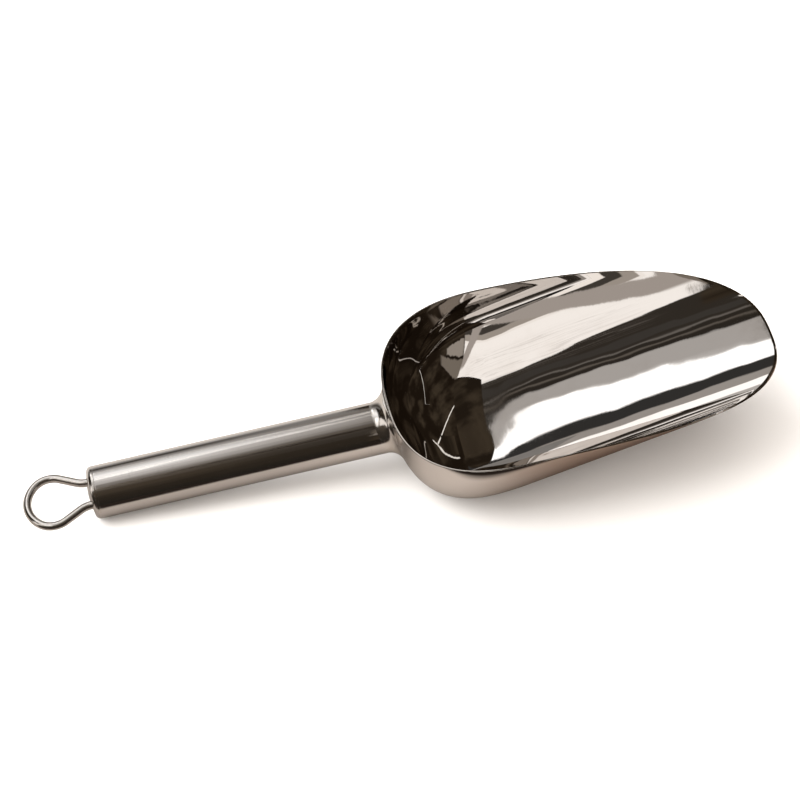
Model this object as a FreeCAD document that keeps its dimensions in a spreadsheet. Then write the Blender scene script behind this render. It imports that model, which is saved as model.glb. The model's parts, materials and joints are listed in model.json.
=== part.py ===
import FreeCAD, Part
import os
from math import atan2, cos, degrees, pi, radians, sin, sqrt, tan
import Sketcher

# Stainless ice scoop: a drawn sheet bowl welded to a tube handle that is closed by a
# crowned end cap carrying a bent wire hanging loop.
#
# Every piece is modelled in the handle's own frame: X runs along the tube's axis from the
# tail end towards the bowl, Y across the scoop and Z up out of the bowl's mouth. At the
# end every piece gets the same Placement, which stands the scoop on a table the way it
# rests: on the lowest point of the handle's tail and on the bowl's heel.

OUT_DIR = "parts"
os.makedirs(OUT_DIR, exist_ok=True)
doc = FreeCAD.newDocument("ice_scoop")

# ---------------------------------------------------------------- driving dimensions (mm)
DIMENSIONS = [
    ("tube_od", 19.0, "handle tube outside diameter"),
    ("tube_wall", 1.5, "handle tube wall"),
    ("tube_stock", 114.0, "tube length before its front end is coped to the bowl"),
    ("seam_half", 0.5, "half width of the polished seam weld at the cap"),
    ("seam_depth", 0.5, "depth of the seam weld"),
    ("cap_shoulder", 2.0, "rounded shoulder of the end cap"),
    ("cap_crown", 0.9, "extra height of the cap's crown over its shoulder"),
    ("cap_plate", 1.9, "thickness of the cap at its centre"),
    ("cap_wall", 0.9, "wall of the cap's skirt"),
    ("spigot_depth", 4.0, "length of the cap's skirt inside the tube"),
    ("wire_d", 3.0, "hanging loop wire diameter"),
    ("leg_y", 5.2, "loop leg centre off the handle's axis"),
    ("leg_end_x", 3.0, "where the loop's legs end inside the tube"),
    ("leg_bend_x", 2.4, "distance behind the tube's end where the legs start to flare"),
    ("leg_bend_r", 8.0, "radius of the flare bend"),
    ("eye_side_r", 7.5, "loop side bend radius"),
    ("eye_side_x", 16.0, "loop side bend centre, behind the tube's end"),
    ("eye_side_y", 3.2, "loop side bend centre, off the axis"),
    ("eye_end_r", 12.0, "loop end bend radius"),
    ("tack_r", 1.85, "tack weld foot radius"),
    ("tack_len", 1.9, "tack weld length along the leg"),
    ("sheet", 0.9, "bowl sheet thickness"),
    ("bowl_half_w", 42.25, "half width of the bowl's trough, outside"),
    ("bowl_x", 150.2, "station where the round back meets the straight trough"),
    ("bowl_z", 17.4, "height there where the trough's wall turns vertical"),
    ("floor_slope", 11.85, "rise of the trough's floor towards the mouth (degrees)"),
    ("back_len", 43.8, "length of the round back"),
    ("plan_power", 2.55, "fullness of the back's outline"),
    ("section_power", 2.49, "fullness of the trough's section"),
    ("trough_drop", 34.6, "depth of the section below where its wall turns vertical"),
    ("heel_len", 29.9, "length of the heel curve in the back wall's profile"),
    ("heel_power", 2.45, "fullness of the heel curve"),
    ("trough_len", 112.0, "length of trough drawn before the mouth is trimmed"),
    ("wall_top", 46.0, "height the walls are drawn to before trimming"),
    ("rim_z", 13.2, "rim height where its straight part ends"),
    ("rim_slope", 0.029, "rise of the straight part of the rim, per mm"),
    ("rim_x", 130.0, "station where the rim starts to curve down"),
    ("rim_r", 521.0, "radius of the curved part of the rim, seen from the side"),
    ("rim_round", 0.3, "rounding of the rim's edges"),
    ("trim_back_x", 90.0, "where the block that trims the rim starts, behind the bowl"),
    ("trim_over", 8.0, "how far that block runs past the drawn trough"),
    ("trim_top", 60.0, "height of that block's top"),
    ("inner_over", 4.0, "how far the inside block runs past the outside one"),
    ("neck_r", 6.0, "radius of the polished fillet weld at the neck"),
    ("neck_core_len", 24.0, "length of the core the neck weld is rolled on"),
    ("neck_core_back", 16.0, "how far that core starts behind the bowl's back"),
    ("neck_wall_depth", 5.0, "how deep the back wall curves within the neck's width"),
    ("weld_on_wire", 0.05, "thickness of a tack weld where it thins out on the wire"),
]


def make_sheet():
    """Store every driving dimension in a spreadsheet, one alias a row."""
    table = doc.addObject("Spreadsheet::Sheet", "dims")
    for row, (alias, value, note) in enumerate(DIMENSIONS, start=1):
        table.set(f"A{row}", alias)
        table.set(f"B{row}", str(value))
        table.set(f"C{row}", note)
        table.setAlias(f"B{row}", alias)
    doc.recompute()
    return table


sheet_table = make_sheet()


def dim(alias):
    """Value of one driving dimension."""
    return float(getattr(sheet_table, alias))


# ---------------------------------------------------------------- sketch helpers
def point(x, y):
    return FreeCAD.Vector(x, y, 0)


def origin_part(body, role):
    """The body's own origin plane or axis with this role, such as XZ_Plane."""
    return next(f for f in body.Origin.OriginFeatures if f.Role == role)


def new_body(name):
    return doc.addObject("PartDesign::Body", name)


def new_sketch(body, name, plane):
    sketch = body.newObject("Sketcher::SketchObject", name)
    sketch.AttachmentSupport = [(origin_part(body, plane), "")]
    sketch.MapMode = "FlatFace"
    return sketch


def add_line(sketch, start, end):
    return sketch.addGeometry(Part.LineSegment(point(*start), point(*end)), False)


def add_arc(sketch, start, middle, end):
    return sketch.addGeometry(Part.Arc(point(*start), point(*middle), point(*end)), False)


def join_ends(sketch, first, first_end, second, second_end):
    sketch.addConstraint(Sketcher.Constraint("Coincident", first, first_end, second, second_end))


def drive(sketch, kind, formula, *places):
    """Dimension of a sketch, driven by a spreadsheet formula."""
    number = sketch.addConstraint(Sketcher.Constraint(kind, *places))
    sketch.setExpression(f"Constraints[{number}]", formula)


def pin(sketch, index, end, x_formula, y_formula):
    """Drive where one end of a sketch element lies from the sketch's origin."""
    where = sketch.getPoint(index, end)
    drive(sketch, "DistanceX", x_formula, -1, 1, index, end, where.x)
    drive(sketch, "DistanceY", y_formula, -1, 1, index, end, where.y)


def drive_radius(sketch, index, formula):
    drive(sketch, "Radius", formula, index, sketch.Geometry[index].Radius)


def join_smooth(sketch, first, second):
    """Make two elements tangent at the ends where they already meet."""
    ends = [(a, b) for a in (1, 2) for b in (1, 2)]
    gaps = [(sketch.getPoint(first, a) - sketch.getPoint(second, b)).Length for a, b in ends]
    a, b = ends[gaps.index(min(gaps))]
    sketch.addConstraint(Sketcher.Constraint("Tangent", first, a, second, b))


def add_outline(sketch, corners, formulas):
    """Closed outline of straight sides, with every corner driven by two formulas."""
    count = len(corners)
    sides = [add_line(sketch, corners[i], corners[(i + 1) % count]) for i in range(count)]
    for i in range(count):
        join_ends(sketch, sides[i], 2, sides[(i + 1) % count], 1)
    for side, formula in zip(sides, formulas):
        pin(sketch, side, 1, *formula)


def add_circle(sketch, radius_formula, radius, centre=(0.0, 0.0)):
    """Circle whose radius is driven by the spreadsheet."""
    circle = Part.Circle(point(*centre), FreeCAD.Vector(0, 0, 1), radius)
    index = sketch.addGeometry(circle, False)
    drive_radius(sketch, index, radius_formula)
    return index


def revolve(body, sketch, name):
    """Full turn of a sketch in the XZ plane about the tube's axis."""
    feature = body.newObject("PartDesign::Revolution", name)
    feature.Profile = sketch
    feature.ReferenceAxis = (origin_part(body, "X_Axis"), [""])
    feature.Angle = 360.0
    doc.recompute()
    return feature


def cut(name, base, tool):
    feature = doc.addObject("Part::Cut", name)
    feature.Base = base
    feature.Tool = tool
    return feature


# ---------------------------------------------------------------- bowl
def round_corner(angle, power):
    """Point of a unit superellipse, by polar angle."""
    c, s = cos(angle), sin(angle)
    size = (abs(c) ** power + abs(s) ** power) ** (1.0 / power)
    return c / size, s / size


def centre_height(station, slope):
    """Height where the wall turns vertical, at a station measured from bowl_x."""
    return dim("bowl_z") + station * slope


def section_depth(station, back_len, heel_len, drop):
    """Depth of the section below its centre height."""
    reach = (-station - (back_len - heel_len)) / heel_len
    if reach <= 0:
        return drop
    power = dim("heel_power")
    return drop * max(0.0, 1.0 - min(1.0, reach) ** power) ** (1.0 / power)


def section_wire(station, half_w, depth, slope, top):
    """Closed section across the bowl: a full U below, straight walls and a flat top."""
    x = dim("bowl_x") + station
    middle = centre_height(station, slope)
    count = 41
    angles = [pi * i / (count - 1) for i in range(count)]
    points = []
    for angle in angles:
        y, z = round_corner(angle, dim("section_power"))
        points.append(FreeCAD.Vector(x, half_w * y, middle - depth * z))
    lower = Part.BSplineCurve()
    lower.interpolate(Points=points, Parameters=angles)
    left_top = FreeCAD.Vector(x, -half_w, top)
    right_top = FreeCAD.Vector(x, half_w, top)
    edges = [
        lower.toShape(),
        Part.makeLine(points[-1], left_top),
        Part.makeLine(left_top, right_top),
        Part.makeLine(right_top, points[0]),
    ]
    return Part.Wire(edges)


def bowl_block(inset, top, trough_len):
    """Solid block with the bowl's shape, inset from the outside by a wall thickness."""
    slope = tan(radians(dim("floor_slope")))
    half_w = dim("bowl_half_w") - inset
    back_len = dim("back_len") - inset
    heel_len = dim("heel_len") - inset
    drop = dim("trough_drop") - inset / cos(radians(dim("floor_slope")))
    wires = []
    back_steps = 18
    first_angle = 0.05
    for i in range(back_steps + 1):
        angle = first_angle + (pi / 2 - first_angle) * i / back_steps
        length, width = round_corner(angle, dim("plan_power"))
        station = -back_len * length
        depth = section_depth(station, back_len, heel_len, drop)
        wires.append(section_wire(station, half_w * width, depth, slope, top))
    trough_steps = 8
    for i in range(1, trough_steps + 1):
        station = trough_len * i / trough_steps
        wires.append(section_wire(station, half_w, drop, slope, top))
    return Part.makeLoft(wires, True, False)


def rim_height(x):
    """Height of the rim seen from the side."""
    if x <= dim("rim_x"):
        return dim("rim_z") + dim("rim_slope") * (x - dim("rim_x"))
    tilt = atan2(dim("rim_slope"), 1.0)
    centre_x = dim("rim_x") + dim("rim_r") * sin(tilt)
    centre_z = dim("rim_z") - dim("rim_r") * cos(tilt)
    return centre_z + sqrt(dim("rim_r") ** 2 - (x - centre_x) ** 2)


def rim_cutter():
    """Block over the rim: a straight line, then one long arc down to the mouth's lip."""
    back_x = dim("trim_back_x")
    front_x = dim("bowl_x") + dim("trough_len") + dim("trim_over")
    middle_x = 0.5 * (dim("rim_x") + front_x)
    top = dim("trim_top")
    front_formula = "dims.bowl_x + dims.trough_len + dims.trim_over"
    back_formula = "dims.rim_z + dims.rim_slope * (dims.trim_back_x - dims.rim_x)"
    body = new_body("rim_trim")
    sketch = new_sketch(body, "rim_profile", "XZ_Plane")
    back = (back_x, rim_height(back_x))
    bend = (dim("rim_x"), dim("rim_z"))
    middle = (middle_x, rim_height(middle_x))
    front = (front_x, rim_height(front_x))
    straight = add_line(sketch, back, bend)
    curve = add_arc(sketch, bend, middle, front)
    rise = add_line(sketch, front, (front_x, top))
    roof = add_line(sketch, (front_x, top), (back_x, top))
    fall = add_line(sketch, (back_x, top), back)
    join_smooth(sketch, straight, curve)
    join_ends(sketch, curve, 1, rise, 1)
    join_ends(sketch, rise, 2, roof, 1)
    join_ends(sketch, roof, 2, fall, 1)
    join_ends(sketch, fall, 2, straight, 1)
    drive_radius(sketch, curve, "dims.rim_r")
    drive(sketch, "DistanceX", front_formula, -1, 1, curve, 1, front[0])
    pin(sketch, straight, 1, "dims.trim_back_x", back_formula)
    pin(sketch, straight, 2, "dims.rim_x", "dims.rim_z")
    pin(sketch, roof, 1, front_formula, "dims.trim_top")
    pin(sketch, roof, 2, "dims.trim_back_x", "dims.trim_top")
    pad = body.newObject("PartDesign::Pad", "rim_block")
    pad.Profile = sketch
    pad.Midplane = True
    pad.setExpression("Length", "dims.bowl_half_w * 3")
    doc.recompute()
    return body


def shape_feature(name, shape):
    feature = doc.addObject("Part::Feature", name)
    feature.Shape = shape
    return feature


def mid_normal(face):
    """Outward normal at the middle of a face."""
    u0, u1, v0, v1 = face.ParameterRange
    return face.normalAt(0.5 * (u0 + u1), 0.5 * (v0 + v1))


def rim_edges(shape):
    """Numbers of the edges that run round the narrow upward face of the rim."""
    rim_faces = [f for f in shape.Faces if mid_normal(f).z > 0.5 and f.BoundBox.ZLength < 15.0]
    uses = {}
    for face in rim_faces:
        for edge in face.Edges:
            uses[edge.hashCode()] = uses.get(edge.hashCode(), 0) + 1
    numbers = []
    for number, edge in enumerate(shape.Edges, start=1):
        if uses.get(edge.hashCode(), 0) == 1 and edge.Length > 2.0:
            numbers.append(number)
    return numbers


def round_edges(name, base, numbers, radius):
    """Fillet of the numbered edges of a document object."""
    feature = doc.addObject("Part::Fillet", name)
    feature.Base = base
    feature.Edges = [(number, radius, radius) for number in numbers]
    return feature


inner_top = dim("wall_top") + dim("inner_over")
inner_len = dim("trough_len") + dim("inner_over")
bowl_outer = shape_feature("bowl_outer", bowl_block(0.0, dim("wall_top"), dim("trough_len")))
bowl_inner = shape_feature("bowl_inner", bowl_block(dim("sheet"), inner_top, inner_len))
rim_trim = rim_cutter()
doc.recompute()
bowl_trimmed = cut("bowl_trimmed", bowl_outer, rim_trim)
doc.recompute()
bowl_wall = cut("bowl_wall", bowl_trimmed, bowl_inner)
doc.recompute()
scoop_bowl = round_edges("bowl_rounded", bowl_wall, rim_edges(bowl_wall.Shape), dim("rim_round"))
doc.recompute()


# ---------------------------------------------------------------- handle tube
def tube_blank():
    """Plain length of tube, before its front is coped and its tail bevelled."""
    body = new_body("tube_blank")
    sketch = new_sketch(body, "tube_section", "YZ_Plane")
    add_circle(sketch, "dims.tube_od / 2", dim("tube_od") / 2)
    add_circle(sketch, "dims.tube_od / 2 - dims.tube_wall", dim("tube_od") / 2 - dim("tube_wall"))
    pad = body.newObject("PartDesign::Pad", "tube_length")
    pad.Profile = sketch
    pad.setExpression("Length", "dims.tube_stock")
    doc.recompute()
    return body


def seam_ring():
    """V-shaped ring of weld metal filling the bevels of the cap and the tube."""
    body = new_body("cap_seam")
    sketch = new_sketch(body, "seam_section", "XZ_Plane")
    outside = dim("tube_od") / 2
    half = dim("seam_half")
    root = outside - dim("seam_depth")
    corners = [(-half, outside), (half, outside), (0.0, root)]
    formulas = [
        ("-dims.seam_half", "dims.tube_od / 2"),
        ("dims.seam_half", "dims.tube_od / 2"),
        ("0", "dims.tube_od / 2 - dims.seam_depth"),
    ]
    add_outline(sketch, corners, formulas)
    revolve(body, sketch, "seam_turn")
    return body


# ---------------------------------------------------------------- end cap
def cap_blank():
    """Crowned cap with a skirt that plugs into the tube."""
    body = new_body("cap_blank")
    sketch = new_sketch(body, "cap_section", "XZ_Plane")
    outside = dim("tube_od") / 2
    bore = outside - dim("tube_wall")
    shoulder = dim("cap_shoulder")
    nose = shoulder + dim("cap_crown")
    face_x = dim("cap_plate") - nose
    turn = shoulder * (1.0 - cos(pi / 4))
    flat = outside - shoulder
    crown_r = (flat ** 2 + dim("cap_crown") ** 2) / (2 * dim("cap_crown"))
    mid_r = flat / 2
    mid_x = -nose + crown_r - sqrt(crown_r ** 2 - mid_r ** 2)
    inner_r = bore - dim("cap_wall")
    skirt = dim("spigot_depth")
    rim = add_line(sketch, (0.0, bore), (0.0, outside))
    edge = add_arc(sketch, (0.0, outside), (-shoulder + turn, outside - turn), (-shoulder, flat))
    crown = add_arc(sketch, (-shoulder, flat), (mid_x, mid_r), (-nose, 0.0))
    axis = add_line(sketch, (-nose, 0.0), (face_x, 0.0))
    inside = add_line(sketch, (face_x, 0.0), (face_x, inner_r))
    skirt_in = add_line(sketch, (face_x, inner_r), (skirt, inner_r))
    skirt_end = add_line(sketch, (skirt, inner_r), (skirt, bore))
    skirt_out = add_line(sketch, (skirt, bore), (0.0, bore))
    join_ends(sketch, rim, 2, edge, 1)
    join_ends(sketch, edge, 2, crown, 1)
    join_ends(sketch, crown, 2, axis, 1)
    join_ends(sketch, axis, 2, inside, 1)
    join_ends(sketch, inside, 2, skirt_in, 1)
    join_ends(sketch, skirt_in, 2, skirt_end, 1)
    join_ends(sketch, skirt_end, 2, skirt_out, 1)
    join_ends(sketch, skirt_out, 2, rim, 1)
    bore_y = "dims.tube_od / 2 - dims.tube_wall"
    inner_y = "dims.tube_od / 2 - dims.tube_wall - dims.cap_wall"
    flat_y = "(dims.tube_od / 2 - dims.cap_shoulder)"
    inner_face = "dims.cap_plate - dims.cap_shoulder - dims.cap_crown"
    pin(sketch, rim, 1, "0", bore_y)
    pin(sketch, rim, 2, "0", "dims.tube_od / 2")
    pin(sketch, crown, 1, "-dims.cap_shoulder", flat_y)
    pin(sketch, axis, 1, "-dims.cap_shoulder - dims.cap_crown", "0")
    pin(sketch, axis, 2, inner_face, "0")
    pin(sketch, skirt_in, 1, inner_face, inner_y)
    pin(sketch, skirt_in, 2, "dims.spigot_depth", inner_y)
    pin(sketch, skirt_out, 1, "dims.spigot_depth", bore_y)
    drive_radius(sketch, edge, "dims.cap_shoulder")
    drive_radius(sketch, crown, f"({flat_y} ^ 2 + dims.cap_crown ^ 2) / (2 * dims.cap_crown)")
    revolve(body, sketch, "cap_turn")
    return body


# ---------------------------------------------------------------- hanging loop
def flare_angle():
    """Angle at which the leg leaves its bend so that it runs tangent to the side bend."""
    low, high = radians(5.0), radians(60.0)
    for _ in range(60):
        angle = 0.5 * (low + high)
        end_x = -dim("leg_bend_x") - dim("leg_bend_r") * sin(angle)
        end_y = dim("leg_y") + dim("leg_bend_r") * (1.0 - cos(angle))
        across = (end_x + dim("eye_side_x")) * sin(angle)
        across += (end_y - dim("eye_side_y")) * cos(angle)
        if across < dim("eye_side_r"):
            low = angle
        else:
            high = angle
    return angle


def loop_path(sketch):
    """Centre line of the wire, from one leg's end round the eye to the other's."""
    angle = flare_angle()
    bend_r = dim("leg_bend_r")
    side_r = dim("eye_side_r")
    end_r = dim("eye_end_r")
    bend_x = -dim("leg_bend_x")
    leg_y = dim("leg_y")
    side = (-dim("eye_side_x"), dim("eye_side_y"))
    offset = end_r - side_r
    end_centre_x = side[0] + sqrt(offset ** 2 - side[1] ** 2)
    join = atan2(side[1], side[0] - end_centre_x)

    def on_bend(turn):
        return bend_x - bend_r * sin(turn), leg_y + bend_r * (1.0 - cos(turn))

    def on_side(turn):
        return side[0] + side_r * cos(turn), side[1] + side_r * sin(turn)

    def mirror(p):
        return p[0], -p[1]

    start = (dim("leg_end_x"), leg_y)
    bend_start = on_bend(0.0)
    bend_mid = on_bend(angle / 2)
    bend_end = on_bend(angle)
    first = pi / 2 - angle
    side_start = on_side(first)
    side_mid = on_side(0.5 * (first + join))
    side_end = on_side(join)
    tail = (end_centre_x - end_r, 0.0)
    end = add_arc(sketch, side_end, tail, mirror(side_end))
    drive_radius(sketch, end, "dims.eye_end_r")
    for place, sign in ((lambda p: p, ""), (mirror, "-")):
        leg = add_line(sketch, place(start), place(bend_start))
        bend = add_arc(sketch, place(bend_start), place(bend_mid), place(bend_end))
        flare = add_line(sketch, place(bend_end), place(side_start))
        side_bend = add_arc(sketch, place(side_start), place(side_mid), place(side_end))
        join_smooth(sketch, leg, bend)
        join_smooth(sketch, bend, flare)
        join_smooth(sketch, flare, side_bend)
        join_smooth(sketch, side_bend, end)
        drive_radius(sketch, bend, "dims.leg_bend_r")
        drive_radius(sketch, side_bend, "dims.eye_side_r")
        pin(sketch, leg, 1, "dims.leg_end_x", f"{sign}dims.leg_y")
        pin(sketch, leg, 2, "-dims.leg_bend_x", f"{sign}dims.leg_y")
        pin(sketch, side_bend, 3, "-dims.eye_side_x", f"{sign}dims.eye_side_y")
    return len(sketch.Geometry)


def wire_loop():
    """Round wire swept along the loop's centre line."""
    body = new_body("wire_loop")
    path = new_sketch(body, "loop_path", "XY_Plane")
    count = loop_path(path)
    section = new_sketch(body, "wire_section", "YZ_Plane")
    section.setExpression("AttachmentOffset.Base.z", "dims.leg_end_x")
    add_circle(section, "dims.wire_d / 2", dim("wire_d") / 2, (dim("leg_y"), 0.0))
    doc.recompute()
    pipe = body.newObject("PartDesign::AdditivePipe", "wire_sweep")
    pipe.Profile = section
    pipe.Spine = (path, [f"Edge{i}" for i in range(1, count + 1)])
    pipe.Transition = "Transformed"
    doc.recompute()
    return body


def tack_blank(name, side):
    """Cone of weld metal round one leg, against the inside of the cap."""
    cone = doc.addObject("Part::Cone", name)
    cone.setExpression("Radius1", "dims.tack_r")
    cone.setExpression("Radius2", "dims.wire_d / 2 + dims.weld_on_wire")
    cone.setExpression("Height", "dims.tack_len")
    turn = FreeCAD.Rotation(FreeCAD.Vector(0, 1, 0), 90)
    foot_x = dim("cap_plate") - dim("cap_shoulder") - dim("cap_crown")
    cone.Placement = FreeCAD.Placement(FreeCAD.Vector(foot_x, side * dim("leg_y"), 0), turn)
    return cone


# ---------------------------------------------------------------- neck fillet weld
def neck_edges(shape):
    """Numbers of the edges where the handle's round outside meets the bowl's back wall."""
    radius = dim("tube_od") / 2
    wall_x = dim("bowl_x") - dim("back_len")
    numbers = []
    for number, edge in enumerate(shape.Edges, start=1):
        first, last = edge.ParameterRange
        points = [edge.valueAt(first + (last - first) * i / 4) for i in range(5)]
        on_tube = all(abs(sqrt(p.y ** 2 + p.z ** 2) - radius) < 0.02 for p in points)
        on_wall = all(wall_x - 0.5 < p.x < wall_x + dim("neck_wall_depth") for p in points)
        if on_tube and on_wall:
            numbers.append(number)
    return numbers


def neck_fillet(wall):
    """Weld metal of a fillet rolled between the handle and the bowl's back wall."""
    core = doc.addObject("Part::Cylinder", "neck_core")
    core.setExpression("Radius", "dims.tube_od / 2")
    core.setExpression("Height", "dims.neck_core_len")
    turn = FreeCAD.Rotation(FreeCAD.Vector(0, 1, 0), 90)
    start_x = dim("bowl_x") - dim("back_len") - dim("neck_core_back")
    core.Placement = FreeCAD.Placement(FreeCAD.Vector(start_x, 0, 0), turn)
    joined = doc.addObject("Part::Fuse", "neck_joined")
    joined.Base = wall
    joined.Tool = core
    doc.recompute()
    rolled = round_edges("neck_rolled", joined, neck_edges(joined.Shape), dim("neck_r"))
    off_wall = cut("neck_off_wall", rolled, wall)
    off_core = cut("neck_off_core", off_wall, core)
    doc.recompute()
    return off_core


tube = tube_blank()
seam = seam_ring()
cap = cap_blank()
loop = wire_loop()
neck = neck_fillet(bowl_outer)
tacks = [tack_blank("tack_left", 1.0), tack_blank("tack_right", -1.0)]
doc.recompute()

tube_coped = cut("tube_coped", tube, bowl_outer)
tube_bevelled = cut("tube_bevelled", tube_coped, seam)
cap_bevelled = cut("cap_bevelled", cap, seam)
cap_drilled = cut("cap_drilled", cap_bevelled, loop)
neck_below_rim = cut("neck_below_rim", neck, rim_trim)
tack_welds = []
for tack in tacks:
    tack_welds.append(cut(tack.Name + "_on_leg", tack, loop))
doc.recompute()

NODES = [
    ("scoop_bowl", scoop_bowl),
    ("handle_tube", tube_bevelled),
    ("neck_fillet_weld", neck_below_rim),
    ("end_cap", cap_drilled),
    ("cap_seam_weld", seam),
    ("hanging_loop", loop),
    ("loop_tack_weld_left", tack_welds[0]),
    ("loop_tack_weld_right", tack_welds[1]),
]


# ---------------------------------------------------------------- standing on the table
def surface_points(shape):
    """Points all over a shape's surface."""
    return shape.tessellate(0.02)[0]


def lowest_z(points, tilt):
    """Lowest point after the scoop is tilted up at the bowl end."""
    return min(p.x * sin(tilt) + p.z * cos(tilt) for p in points)


def rest_tilt():
    """Tilt at which the handle's tail and the bowl's heel touch one plane."""
    heel = surface_points(scoop_bowl.Shape)
    tail = surface_points(seam.Shape)
    low, high = 0.0, radians(20.0)
    for _ in range(30):
        tilt = 0.5 * (low + high)
        if lowest_z(heel, tilt) < lowest_z(tail, tilt):
            low = tilt
        else:
            high = tilt
    return tilt


def resting_placement():
    """Placement that stands the scoop on Z = 0, centred over the origin."""
    turn = FreeCAD.Rotation(FreeCAD.Vector(0, 1, 0), -degrees(rest_tilt()))
    points = []
    for _, feature in NODES:
        points += [turn.multVec(p) for p in surface_points(feature.Shape)]
    low_x = min(p.x for p in points)
    high_x = max(p.x for p in points)
    low_z = min(p.z for p in points)
    return FreeCAD.Placement(FreeCAD.Vector(-0.5 * (low_x + high_x), 0, -low_z), turn)


def check_document():
    """Stop if any object failed, or any piece is not one sound solid."""
    for item in doc.Objects:
        if "Invalid" in item.State or "Error" in item.State:
            raise RuntimeError(f"{item.Name} failed: {item.State}")
    for label, feature in NODES:
        shape = feature.Shape
        if shape.isNull() or not shape.isValid() or len(shape.Solids) != 1:
            raise RuntimeError(f"{label} is not one sound solid")


def export_nodes():
    """Place, check and write every piece."""
    placement = resting_placement()
    for label, feature in NODES:
        feature.Label = label
        feature.Placement = placement
    check_document()
    for label, feature in NODES:
        feature.Shape.exportStep(os.path.join(OUT_DIR, label + ".step"))


export_nodes()
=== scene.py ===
import json
from math import atan, atan2, cos, pi, radians, sin, sqrt, tan

import bpy
import numpy as np
from mathutils import Matrix, Vector


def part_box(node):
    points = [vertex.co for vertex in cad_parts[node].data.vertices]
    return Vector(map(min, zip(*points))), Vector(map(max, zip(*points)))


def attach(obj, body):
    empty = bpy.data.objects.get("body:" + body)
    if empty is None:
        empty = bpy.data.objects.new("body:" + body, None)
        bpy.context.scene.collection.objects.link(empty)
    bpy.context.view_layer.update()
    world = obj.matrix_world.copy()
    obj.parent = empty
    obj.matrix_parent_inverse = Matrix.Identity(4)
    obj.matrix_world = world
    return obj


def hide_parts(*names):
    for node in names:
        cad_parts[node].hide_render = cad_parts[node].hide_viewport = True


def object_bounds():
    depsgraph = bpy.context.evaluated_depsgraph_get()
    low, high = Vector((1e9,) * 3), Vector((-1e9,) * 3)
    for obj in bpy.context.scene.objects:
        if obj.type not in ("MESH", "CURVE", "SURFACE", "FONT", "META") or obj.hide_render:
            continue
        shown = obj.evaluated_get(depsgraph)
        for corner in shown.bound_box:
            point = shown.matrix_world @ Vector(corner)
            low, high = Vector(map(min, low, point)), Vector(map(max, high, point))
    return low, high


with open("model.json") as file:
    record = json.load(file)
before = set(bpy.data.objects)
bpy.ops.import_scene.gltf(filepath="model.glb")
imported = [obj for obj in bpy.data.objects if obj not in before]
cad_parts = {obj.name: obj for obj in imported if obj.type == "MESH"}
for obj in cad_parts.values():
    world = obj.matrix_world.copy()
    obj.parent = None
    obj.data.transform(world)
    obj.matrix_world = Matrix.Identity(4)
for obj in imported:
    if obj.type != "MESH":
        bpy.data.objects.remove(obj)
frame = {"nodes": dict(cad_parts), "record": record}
cad_low, cad_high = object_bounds()

# The scoop is drawn in its handle's own frame, in millimetres: x along the tube's axis from the
# tail towards the bowl, y across, z up out of the bowl's mouth. HANDLE turns that frame into
# the row frame, in metres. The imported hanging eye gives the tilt, the seam ring the origin.
eye_axis = frame["record"]["mounts"][0]["axis"]
TILT = atan2(-eye_axis[0], eye_axis[2])
seam_low, seam_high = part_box("cap_seam_weld")
HANDLE = Matrix.Translation((seam_low + seam_high) / 2) @ Matrix.Rotation(-TILT, 4, "Y")
HANDLE = HANDLE @ Matrix.Scale(0.001, 4)

# ---------------------------------------------------------------- sizes, mm
TUBE_R = 9.5
TUBE_WALL = 1.5
SHEET = 0.9
BOWL_HALF_W = 42.25
BOWL_X = 150.2
BOWL_Z = 17.4
FLOOR_TILT = radians(11.85)
FLOOR_SLOPE = tan(FLOOR_TILT)
BACK_LEN = 43.8
PLAN_POWER = 2.55
SECTION_POWER = 2.49
TROUGH_DROP = 34.6
HEEL_LEN = 29.9
HEEL_POWER = 2.45
RIM_X = 130.0
RIM_Z = 13.2
RIM_SLOPE = 0.029
RIM_R = 521.0
NECK_R = 6.0
NECK_TOE = 0.05
SEAM_HALF = 0.5
SEAM_DEPTH = 0.5
CAP_SHOULDER = 2.0
CAP_CROWN = 0.9
CAP_PLATE = 1.9
CAP_WALL = 0.9
SPIGOT_DEPTH = 4.0
WIRE_R = 1.5
LEG_Y = 5.2
LEG_END_X = 3.0
LEG_BEND_X = 2.4
LEG_BEND_R = 8.0
EYE_SIDE_R = 7.5
EYE_SIDE_X = 16.0
EYE_SIDE_Y = 3.2
EYE_END_R = 12.0


# ---------------------------------------------------------------- mesh helpers
def add_mesh(name, points, faces, normals=None):
    """Mesh object from points in the handle's frame, with smooth shading and exact normals."""
    mesh = bpy.data.meshes.new(name)
    matrix = np.array(HANDLE)
    placed = np.asarray(points) @ matrix[:3, :3].T + matrix[:3, 3]
    mesh.from_pydata(placed.tolist(), [], faces)
    mesh.validate()
    mesh.shade_smooth()
    if normals is not None:
        turned = np.asarray(normals) @ matrix[:3, :3].T
        turned /= np.linalg.norm(turned, axis=1)[:, None]
        mesh.normals_split_custom_set_from_vertices(turned.tolist())
    piece = bpy.data.objects.new(name, mesh)
    bpy.context.scene.collection.objects.link(piece)
    return piece


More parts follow.
